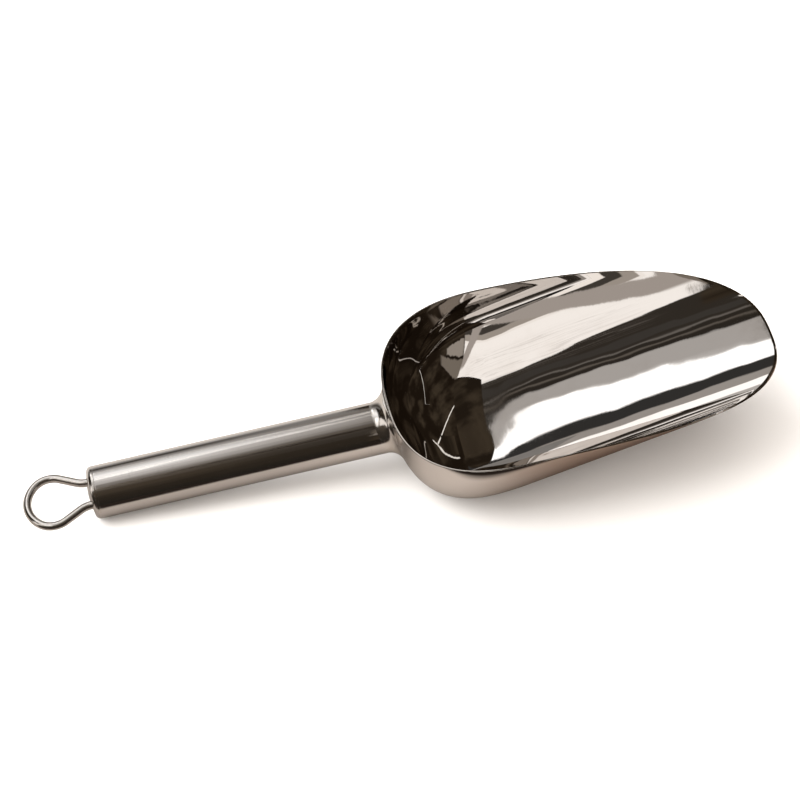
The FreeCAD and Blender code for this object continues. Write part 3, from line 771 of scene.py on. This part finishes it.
def make_floor():
    """Plain pale table top; the steel sees it through painted shade, brown-dark under the bowl's front
    and near-black on the near side.
    """
    mesh = bpy.data.meshes.new("floor")
    size = 6.0
    corners = [(-size, -size, 0), (size, -size, 0), (size, size, 0), (-size, size, 0)]
    mesh.from_pydata(corners, [], [(0, 1, 2, 3)])
    floor = bpy.data.objects.new("floor", mesh)
    bpy.context.scene.collection.objects.link(floor)
    material = bpy.data.materials.new("pale_table")
    tree = Tree(material)
    x, y, _ = tree.add("SeparateXYZ", {0: tree.add("TexCoord").outputs["Object"]}).outputs
    # Painted shade for reflections only: the steel sees a dim grey floor that turns brown-dark under
    # the bowl's front, where its shadow falls, and near-black beyond a line on the near side. The
    # camera sees the plain pale colour.
    beyond = tree.ease(tree.math("MULTIPLY_ADD", x, 0.25, y), -0.05, -0.061)
    seen = tree.mix(tree.ease(x, -0.05, 0.0), (0.26, 0.235, 0.215, 1.0), (0.36, 0.325, 0.295, 1.0))
    seen = tree.mix(tree.ease(x, 0.0, 0.07), seen, (0.2, 0.145, 0.115, 1.0))
    seen = tree.mix(beyond, seen, (0.012, 0.009, 0.007, 1.0))
    seen = tree.mix(tree.ease(y, 0.0, 0.05), seen, (0.36, 0.34, 0.32, 1.0))
    colour = tree.mix(tree.add("LightPath").outputs["Is Glossy Ray"], (0.86, 0.85, 0.84, 1.0), seen)
    inputs = {"Base Color": colour, "Roughness": 0.6, "Specular IOR Level": 0.0}
    shader = tree.add("BsdfPrincipled", inputs)
    tree.add("OutputMaterial", {"Surface": shader.outputs[0]})
    mesh.materials.append(material)


def make_hood():
    """Dark card over the mouth's back, seen only in the steel and only by its upright rays.

    It keeps the overhead panels from showing twice, once in the trough and again where the
    bowl starts to round up to its back.
    """
    outline = [(15, 13), (30, 13), (35.5, 22), (33, 30), (41, 31), (41, 52), (26, 54), (15, 60)]
    mesh = bpy.data.meshes.new("hood")
    mesh.from_pydata([(x / 1000, y / 1000, 0.0) for x, y in outline], [], [tuple(range(len(outline)))])
    hood = bpy.data.objects.new("hood", mesh)
    bpy.context.scene.collection.objects.link(hood)
    height_above = 0.042
    slope = Matrix.Rotation(-TROUGH_TILT, 4, "Y")
    hood.matrix_world = slope @ Matrix.Translation((0.0, 0.0, height_above))
    hood.visible_camera = False
    hood.visible_diffuse = False
    hood.visible_shadow = False
    material = bpy.data.materials.new("hood")
    tree = Tree(material)
    incoming = tree.add("NewGeometry").outputs["Incoming"]
    spin = tree.add("VectorRotate", {"Vector": incoming, "Angle": TROUGH_TILT}, rotation_type="Y_AXIS")
    lean, across, height = tree.add("SeparateXYZ", {0: spin.outputs[0]}).outputs
    lean = tree.math("MULTIPLY", lean, -1.0)
    turn = tree.math("ARCTAN2", tree.math("MULTIPLY", height, -1.0), across)
    turn = tree.math("MULTIPLY", turn, 180.0 / pi)
    place = tree.add("TexCoord").outputs["Object"]
    patches = tree.add("TexNoise", {"Vector": place, "Scale": 120.0, "Detail": 3.0}).outputs["Fac"]
    tone = tree.mix(tree.ease(patches, 0.42, 0.7), (0.02, 0.014, 0.009, 1.0), (0.06, 0.045, 0.03, 1.0))
    dark = tree.add("Emission", {"Color": tone, "Strength": 1.0})
    clear = tree.add("BsdfTransparent")
    x, y, _ = tree.add("SeparateXYZ", {0: place}).outputs
    behind = tree.ease(tree.math("MULTIPLY_ADD", y, 0.29, x), 0.041, 0.0406)
    upright = tree.math("MULTIPLY", tree.ease(lean, 0.06, 0.05), behind)
    low = tree.math("MULTIPLY", tree.ease(turn, 124.0, 125.0), tree.ease(turn, 132.3, 131.9))
    low = tree.math("MULTIPLY", low, tree.ease(lean, 0.12, 0.13))
    shade = tree.math("MAXIMUM", upright, low)
    shader = tree.add("MixShader", {0: shade, 1: clear.outputs[0], 2: dark.outputs[0]})
    tree.add("OutputMaterial", {"Surface": shader.outputs[0]})
    mesh.materials.append(material)


def make_lamp(name, place, size, power, colour=(1.0, 1.0, 1.0)):
    """Soft square lamp aimed at the scoop, left out of the steel's reflections."""
    data = bpy.data.lights.new(name, "AREA")
    data.size = size
    data.energy = power
    data.color = colour
    lamp = bpy.data.objects.new(name, data)
    bpy.context.scene.collection.objects.link(lamp)
    lamp.location = place
    lamp.rotation_mode = "QUATERNION"
    lamp.rotation_quaternion = (-Vector(place)).to_track_quat("-Z", "Y")
    lamp.visible_glossy = False


def make_handle_panel(receivers):
    """Long soft panel over the handle, seen by the handle's parts only.

    Its strength follows the turn about the handle, from the near side over the top to the
    far side, and drops towards the bowl.
    """
    height, near_y, far_y = 0.5, -0.26, 1.04
    data = bpy.data.lights.new("handle_panel", "AREA")
    data.shape = "RECTANGLE"
    data.size = 0.9
    data.size_y = far_y - near_y
    data.energy = PANEL_POWER
    tree = Tree(data)
    place = tree.add("NewGeometry").outputs["Parametric"]
    along, across, _ = tree.add("SeparateXYZ", {0: place}).outputs
    y = tree.math("MULTIPLY_ADD", across, far_y - near_y, near_y)
    turn = tree.math("ARCTAN2", height, tree.math("MULTIPLY", y, -1.0))
    turn = tree.math("MULTIPLY", turn, 1.0 / pi)
    tail = tree.bands(turn, TAIL_LIGHT)
    front = tree.bands(turn, FRONT_LIGHT)
    light = tree.mix(tree.ease(along, 0.36, 0.56), tail, front)
    shader = tree.add("Emission", {"Color": light, "Strength": 1.0})
    tree.add("OutputLight", {"Surface": shader.outputs[0]})
    lamp = bpy.data.objects.new("handle_panel", data)
    bpy.context.scene.collection.objects.link(lamp)
    lamp.location = (-0.05, (near_y + far_y) / 2, height)
    seen_by = bpy.data.collections.new("handle_panel_receivers")
    for piece in receivers:
        seen_by.objects.link(piece)
    lamp.light_linking.receiver_collection = seen_by


def make_card(name, y, top, tail_light, front_light):
    """Upright card beside the handle, seen only in the steel; its tone goes by elevation."""
    left, right = -0.45, -0.008
    mesh = bpy.data.meshes.new(name)
    corners = [(left, y, 0.0), (right, y, 0.0), (right, y, top), (left, y, top)]
    mesh.from_pydata(corners, [], [(0, 1, 2, 3)])
    card = bpy.data.objects.new(name, mesh)
    bpy.context.scene.collection.objects.link(card)
    card.visible_camera = False
    card.visible_diffuse = False
    card.visible_shadow = False
    material = bpy.data.materials.new(name)
    tree = Tree(material)
    x, _, z = tree.add("SeparateXYZ", {0: tree.add("TexCoord").outputs["Object"]}).outputs
    rise = tree.math("MULTIPLY", tree.math("ARCTAN2", z, abs(y)), 2.0 / pi)
    tail = tree.bands(rise, tail_light)
    front = tree.bands(rise, front_light)
    tone = tree.mix(tree.ease(x, -0.1, -0.03), tail, front)
    shader = tree.add("Emission", {"Color": tone, "Strength": 1.0})
    tree.add("OutputMaterial", {"Surface": shader.outputs[0]})
    mesh.materials.append(material)


PANEL_POWER = 3.7
TAIL_LIGHT = [
    (0.33, 0.12, 0.1), (0.38, 0.17, 0.1), (0.417, 0.37, 0.05), (0.46, 0.6, 0.03), (0.5, 0.67, 0.02),
    (0.545, 0.85, 0.02), (0.585, 1.2, 0.0), (0.63, 1.4, 0.0), (0.667, 1.37, 0.0), (0.71, 1.06, 0.0),
    (0.75, 0.76, 0.02), (0.795, 0.5, 0.03), (0.833, 0.24, 0.05), (0.86, 0.1, 0.05)]
FRONT_LIGHT = [
    (0.33, 0.05, 0.15), (0.38, 0.07, 0.15), (0.417, 0.1, 0.1), (0.46, 0.17, 0.06), (0.5, 0.26, 0.05),
    (0.545, 0.3, 0.04), (0.63, 0.31, 0.04), (0.667, 0.29, 0.04), (0.71, 0.25, 0.05),
    (0.75, 0.22, 0.06), (0.8, 0.2, 0.08), (0.86, 0.22, 0.1)]

NEAR_TAIL = [(0.0, 0.02, 0.2), (0.3, 0.025, 0.3), (0.5, 0.055, 0.3), (0.7, 0.1, 0.2)]
NEAR_FRONT = [(0.0, 0.02, 0.2), (0.4, 0.028, 0.3), (0.6, 0.05, 0.2), (0.7, 0.08, 0.2)]
FAR_TAIL = [
    (0.0, 0.62, 0.05), (0.06, 0.58, 0.05), (0.12, 0.3, 0.05), (0.17, 0.1, 0.1), (0.26, 0.07, 0.1),
    (0.32, 0.2, 0.05), (0.4, 0.34, 0.03)]
FAR_FRONT = [
    (0.0, 0.6, 0.05), (0.06, 0.52, 0.05), (0.15, 0.33, 0.05), (0.25, 0.28, 0.05), (0.4, 0.27, 0.05)]

make_world()
make_floor()
make_card("near_card", -0.08, 0.138, NEAR_TAIL, NEAR_FRONT)
make_card("far_card", 0.3, 0.2, FAR_TAIL, FAR_FRONT)
make_hood()
make_lamp("overhead", (-0.6, 0.28, 0.68), 1.2, 21.0)
make_lamp("fill", (0.1, -0.2, 1.2), 2.4, 34.0, (1.0, 0.945, 0.89))
bpy.context.scene.view_settings.view_transform = "Standard"


# ---------------------------------------------------------------- materials
def handle_coords(tree):
    """Position in the handle's own frame, in mm."""
    back = HANDLE.inverted()
    place = tree.add("TexCoord").outputs["Object"]
    mapping = tree.add("Mapping", {"Vector": place, "Location": back.to_translation()})
    mapping.inputs["Rotation"].default_value = back.to_euler()
    mapping.inputs["Scale"].default_value = (1000.0, 1000.0, 1000.0)
    return mapping.outputs[0]


def stretched(tree, place, stretch):
    """Coordinates scaled by axis, so that noise turns into streaks."""
    return tree.add("Mapping", {"Vector": place, "Scale": stretch}).outputs[0]


def noise(tree, place, scale, detail=2.0, rough=0.5):
    inputs = {"Vector": place, "Scale": scale, "Detail": detail, "Roughness": rough}
    return tree.add("TexNoise", inputs).outputs["Fac"]


def finish_steel(tree, colour, roughness, bumps):
    """Steel shader; bumps are (height, distance in m, strength) from coarse to fine."""
    normal = None
    for height, distance, strength in bumps:
        inputs = {"Height": height, "Distance": distance, "Strength": strength}
        if normal is not None:
            inputs["Normal"] = normal
        normal = tree.add("Bump", inputs).outputs[0]
    shader = tree.add("BsdfPrincipled", {
        "Base Color": colour, "Metallic": 1.0, "Roughness": roughness, "Normal": normal})
    tree.add("OutputMaterial", {"Surface": shader.outputs[0]})


def sheet_material():
    """Mirror-polished sheet: faint ripples, hairline scratches, smudges, a rubbed lip and heel."""
    material = bpy.data.materials.new("mirror_polished_sheet")
    tree = Tree(material)
    place = handle_coords(tree)
    x, _, z = tree.add("SeparateXYZ", {0: place}).outputs
    ripple = noise(tree, stretched(tree, place, (0.6, 1.0, 1.0)), 0.09, 1.0)
    peel = noise(tree, place, 0.9, 2.0)
    hairs = noise(tree, stretched(tree, place, (0.35, 9.0, 9.0)), 1.0, 3.0, 0.7)
    smudge = tree.ease(noise(tree, place, 0.035, 4.0, 0.6), 0.52, 0.72)
    scuffs = tree.ease(noise(tree, stretched(tree, place, (6.0, 1.2, 1.2)), 1.0, 3.0), 0.56, 0.66)
    lip = tree.ease(x, 232.0, 256.0)
    heel = tree.ease(z, -22.0, -27.0)
    worn = tree.math("MULTIPLY", tree.math("MAXIMUM", lip, heel), scuffs)
    rough = tree.math("MULTIPLY_ADD", smudge, 0.018, 0.008)
    rough = tree.math("MULTIPLY_ADD", tree.math("MULTIPLY", hairs, hairs), 0.03, rough)
    rough = tree.math("MULTIPLY_ADD", worn, 0.08, rough)
    colour = tree.mix(smudge, (0.665, 0.635, 0.61, 1.0), (0.63, 0.595, 0.565, 1.0))
    colour = tree.mix(worn, colour, (0.6, 0.57, 0.54, 1.0))
    bumps = [(ripple, 0.00004, 1.0), (peel, 0.0000007, 1.0), (hairs, 0.0000002, 1.0)]
    finish_steel(tree, colour, rough, bumps)
    return material


def tube_material():
    """Polished tube with fine lengthwise draw lines and a few handling marks."""
    material = bpy.data.materials.new("polished_drawn_tube")
    tree = Tree(material)
    place = handle_coords(tree)
    x, y, z = tree.add("SeparateXYZ", {0: place}).outputs
    around = tree.math("MULTIPLY", tree.math("ARCTAN2", z, y), TUBE_R)
    unrolled = tree.add("CombineXYZ", {0: x, 1: around, 2: 0.0}).outputs[0]
    lines = noise(tree, stretched(tree, unrolled, (0.02, 2.6, 1.0)), 1.0, 5.0, 0.72)
    bands = noise(tree, stretched(tree, unrolled, (0.008, 0.5, 1.0)), 1.0, 2.0)
    marks = noise(tree, stretched(tree, unrolled, (1.1, 0.25, 1.0)), 1.0, 4.0, 0.65)
    marks = tree.ease(marks, 0.6, 0.7)
    smudge = tree.ease(noise(tree, place, 0.06, 3.0), 0.5, 0.7)
    rough = tree.math("MULTIPLY_ADD", lines, 0.08, 0.035)
    rough = tree.math("MULTIPLY_ADD", smudge, 0.025, rough)
    rough = tree.math("MULTIPLY_ADD", marks, 0.04, rough)
    colour = tree.mix(lines, (0.6, 0.575, 0.555, 1.0), (0.69, 0.66, 0.635, 1.0))
    colour = tree.mix(tree.math("MULTIPLY", marks, 0.5), colour, (0.54, 0.51, 0.485, 1.0))
    bumps = [(bands, 0.00008, 1.0), (lines, 0.000012, 1.0), (marks, 0.000002, 0.5)]
    finish_steel(tree, colour, rough, bumps)
    return material


def weld_material():
    """Ground and polished weld: finer, crossing marks and a faint straw tint."""
    material = bpy.data.materials.new("polished_weld_metal")
    tree = Tree(material)
    place = handle_coords(tree)
    grind = noise(tree, stretched(tree, place, (3.5, 0.5, 0.5)), 1.0, 4.0, 0.7)
    cross = noise(tree, stretched(tree, place, (0.5, 1.5, 2.8)), 1.0, 3.0, 0.6)
    lumps = noise(tree, place, 0.22, 2.0)
    rough = tree.math("MULTIPLY_ADD", grind, 0.08, 0.08)
    rough = tree.math("MULTIPLY_ADD", cross, 0.04, rough)
    tint = tree.ease(lumps, 0.4, 0.65)
    colour = tree.mix(tint, (0.66, 0.635, 0.61, 1.0), (0.64, 0.6, 0.555, 1.0))
    bumps = [(lumps, 0.00004, 1.0), (grind, 0.000006, 1.0), (cross, 0.000003, 1.0)]
    finish_steel(tree, colour, rough, bumps)
    return material


def cap_material():
    """Turned cap: fine rings about the axis and a few duller knocks."""
    material = bpy.data.materials.new("turned_cap_steel")
    tree = Tree(material)
    place = handle_coords(tree)
    x, y, z = tree.add("SeparateXYZ", {0: place}).outputs
    square = tree.math("MULTIPLY_ADD", y, y, tree.math("MULTIPLY", z, z))
    radius = tree.math("SQRT", square)
    rings = noise(tree, tree.add("CombineXYZ", {0: radius, 1: x, 2: 0.0}).outputs[0], 4.0, 4.0, 0.7)
    knocks = tree.ease(noise(tree, place, 0.9, 3.0), 0.58, 0.7)
    rough = tree.math("MULTIPLY_ADD", rings, 0.1, 0.09)
    rough = tree.math("MULTIPLY_ADD", knocks, 0.06, rough)
    colour = tree.mix(rings, (0.6, 0.575, 0.555, 1.0), (0.68, 0.655, 0.63, 1.0))
    finish_steel(tree, colour, rough, [(rings, 0.000012, 1.0), (knocks, 0.000006, 1.0)])
    return material


def wire_material():
    """Drawn wire: soft satin with lengthwise lines, rubbed bright where it hangs."""
    material = bpy.data.materials.new("drawn_wire_steel")
    tree = Tree(material)
    place = handle_coords(tree)
    x = tree.add("SeparateXYZ", {0: place}).outputs[0]
    grain = noise(tree, stretched(tree, place, (1.2, 1.2, 5.0)), 1.0, 4.0, 0.7)
    dents = noise(tree, place, 0.5, 2.0)
    rubbed = tree.ease(x, -17.0, -22.0)
    rough = tree.math("MULTIPLY_ADD", grain, 0.12, 0.16)
    rough = tree.math("MULTIPLY_ADD", rubbed, -0.06, rough)
    colour = tree.mix(grain, (0.54, 0.51, 0.485, 1.0), (0.64, 0.61, 0.58, 1.0))
    finish_steel(tree, colour, rough, [(dents, 0.00006, 1.0), (grain, 0.00001, 1.0)])
    return material


def raw_weld_material():
    """Unpolished tack weld inside the cap: beaded and heat-tinted."""
    material = bpy.data.materials.new("raw_tack_weld")
    tree = Tree(material)
    place = handle_coords(tree)
    x = tree.add("SeparateXYZ", {0: place}).outputs[0]
    waves = tree.math("MULTIPLY_ADD", noise(tree, place, 0.8, 2.0), 4.0, tree.math("MULTIPLY", x, 9.0))
    bead = tree.math("SINE", waves)
    scale = noise(tree, place, 1.6, 4.0, 0.65)
    tint = tree.mix(tree.ease(scale, 0.4, 0.6), (0.36, 0.28, 0.18, 1.0), (0.2, 0.21, 0.27, 1.0))
    rough = tree.math("MULTIPLY_ADD", scale, 0.3, 0.35)
    finish_steel(tree, tint, rough, [(bead, 0.0001, 1.0), (scale, 0.00005, 1.0)])
    return material


weld_steel = weld_material()
for piece, steel in (
        (bowl, sheet_material()), (tube, tube_material()), (neck, weld_steel), (seam, weld_steel),
        (cap, cap_material()), (loop, wire_material())):
    piece.data.materials.append(steel)
raw_weld = raw_weld_material()
for name in ("loop_tack_weld_left", "loop_tack_weld_right"):
    node = frame["nodes"][name]
    node.data.materials.clear()
    node.data.materials.append(raw_weld)
make_handle_panel([tube, neck, seam, cap, loop])
